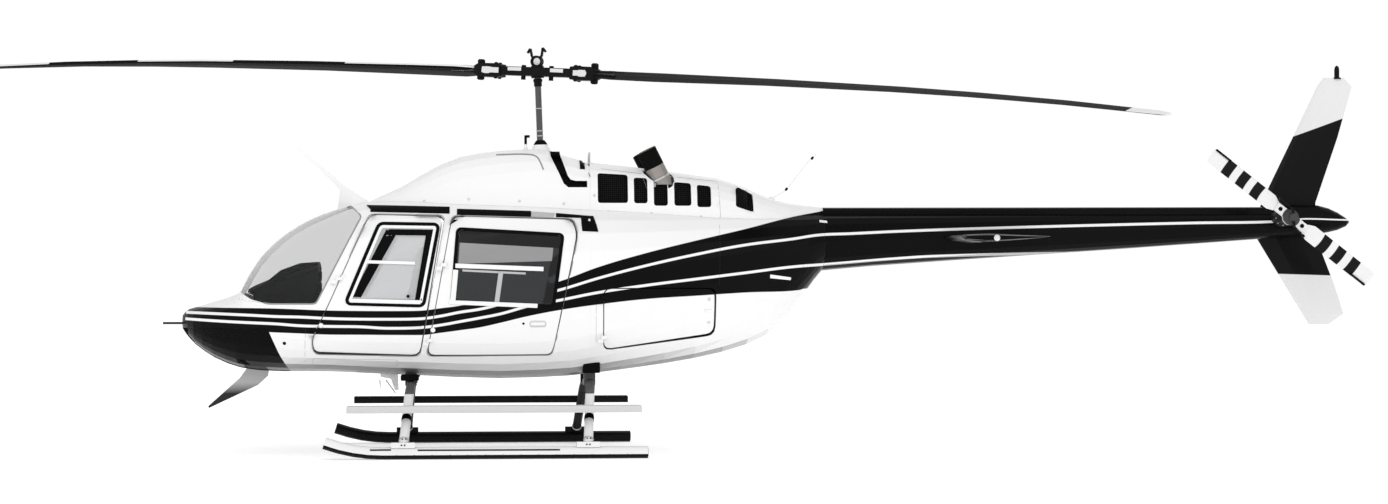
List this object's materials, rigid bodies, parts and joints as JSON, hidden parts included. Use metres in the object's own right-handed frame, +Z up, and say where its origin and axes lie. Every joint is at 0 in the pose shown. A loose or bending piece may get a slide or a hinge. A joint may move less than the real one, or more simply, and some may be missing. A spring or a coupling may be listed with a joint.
{
  "type": "light single-engine helicopter",
  "caption": "Light helicopter on high skid gear with a two-blade teetering main rotor, a two-blade tail rotor, hinged cabin doors and a slim tail boom.",
  "frame": {"origin": "on the ground under the middle of the overall box, rotor blades included", "axes": "+X aft towards the tail, -Y to the aircraft's left side, +Z up"},
  "size_m": [11.4191, 4.5665, 3.2261],
  "materials": {
    "white_paint": "gloss white paint on honeycomb panels",
    "black_paint": "gloss black paint",
    "gear_white": "white paint on aluminium tube",
    "blade_white": "white painted metal blade",
    "blade_black": "black and white painted metal blade",
    "clear_glass": "clear acrylic",
    "tinted_glass": "dark tinted acrylic",
    "bare_steel": "bare steel",
    "dark_metal": "dark coated metal",
    "black_plastic": "black plastic",
    "cabin_trim": "grey cabin trim",
    "seat_cover": "light seat cloth"
  },
  "bodies": {
    "airframe": {"nose_shell": "white_paint", "cabin_belly": "white_paint", "cabin_frame": "white_paint", "cabin_roof": "white_paint", "aft_fuselage": "white_paint", "pylon_cowl": "white_paint", "inlet_fairing": "white_paint", "engine_cowl": "white_paint", "aft_fairing": "white_paint", "windshield_left": "clear_glass", "windshield_right": "clear_glass", "chin_window_left": "tinted_glass", "chin_window_right": "tinted_glass", "tail_boom": "black_paint", "tail_cone": "black_paint", "vertical_fin": "black_paint", "fin_beacon": "black_plastic", "stabiliser_left": "black_paint", "stabiliser_right": "black_paint", "tail_gearbox": "dark_metal", "engine_block": "dark_metal", "main_gearbox": "dark_metal", "exhaust_left": "bare_steel", "exhaust_right": "bare_steel", "skid_left": "gear_white", "skid_right": "gear_white", "front_cross_tube": "gear_white", "rear_cross_tube": "gear_white", "step_left": "gear_white", "step_right": "gear_white", "cabin_floor": "cabin_trim", "instrument_console": "black_plastic", "front_seat_left": "seat_cover", "front_seat_right": "seat_cover", "rear_seat_bench": "seat_cover", "pitot_tube": "bare_steel", "upper_wire_cutter": "white_paint", "lower_wire_cutter": "black_plastic", "belly_lamp": "black_plastic"},
    "main_rotor": {"mast": "bare_steel", "rotor_yoke": "dark_metal", "flapping_restraint": "dark_metal", "blade_grip_a": "dark_metal", "blade_grip_b": "dark_metal", "main_blade_a": "blade_black", "main_blade_b": "blade_black"},
    "tail_rotor": {"tail_rotor_hub": "dark_metal", "tail_blade_a": "blade_white", "tail_blade_b": "blade_white"},
    "door_front_left": {"front_door_left": "white_paint", "front_door_window_left": "clear_glass"},
    "door_front_right": {"front_door_right": "white_paint", "front_door_window_right": "clear_glass"},
    "door_rear_left": {"rear_door_left": "white_paint", "rear_door_window_left": "tinted_glass"},
    "door_rear_right": {"rear_door_right": "white_paint", "rear_door_window_right": "tinted_glass"},
    "door_baggage": {"baggage_door": "white_paint"}
  },
  "joints": [
    {"name": "main_rotor_spin", "type": "hinge", "parent": "airframe", "child": "main_rotor", "pos_m": [-0.999, 0, 3.03], "axis": [-0.0384, 0, 0.9993], "continuous": true},
    {"name": "tail_rotor_spin", "type": "hinge", "parent": "airframe", "child": "tail_rotor", "pos_m": [5.053, -0.42, 1.865], "axis": [0, 1, 0], "continuous": true},
    {"name": "front_left_door_hinge", "type": "hinge", "parent": "airframe", "child": "door_front_left", "pos_m": [-2.745, -0.633, 0.96], "axis": [-0.4027, 0, -0.9153], "range_deg": [0, 75]},
    {"name": "front_right_door_hinge", "type": "hinge", "parent": "airframe", "child": "door_front_right", "pos_m": [-2.745, 0.633, 0.96], "axis": [0.4027, 0, 0.9153], "range_deg": [0, 75]},
    {"name": "rear_left_door_hinge", "type": "hinge", "parent": "airframe", "child": "door_rear_left", "pos_m": [-1.866, -0.6627, 0.88], "axis": [-0.1764, 0, -0.9843], "range_deg": [0, 75]},
    {"name": "rear_right_door_hinge", "type": "hinge", "parent": "airframe", "child": "door_rear_right", "pos_m": [-1.866, 0.6627, 0.88], "axis": [0.1764, 0, 0.9843], "range_deg": [0, 75]},
    {"name": "baggage_door_hinge", "type": "hinge", "parent": "airframe", "child": "door_baggage", "pos_m": [-0.511, -0.6549, 0.9], "axis": [0, 0, -1], "range_deg": [0, 85]}
  ],
  "couplings": [
    {"joint": "tail_rotor_spin", "follows": "main_rotor_spin", "ratio": 6.46}
  ]
}
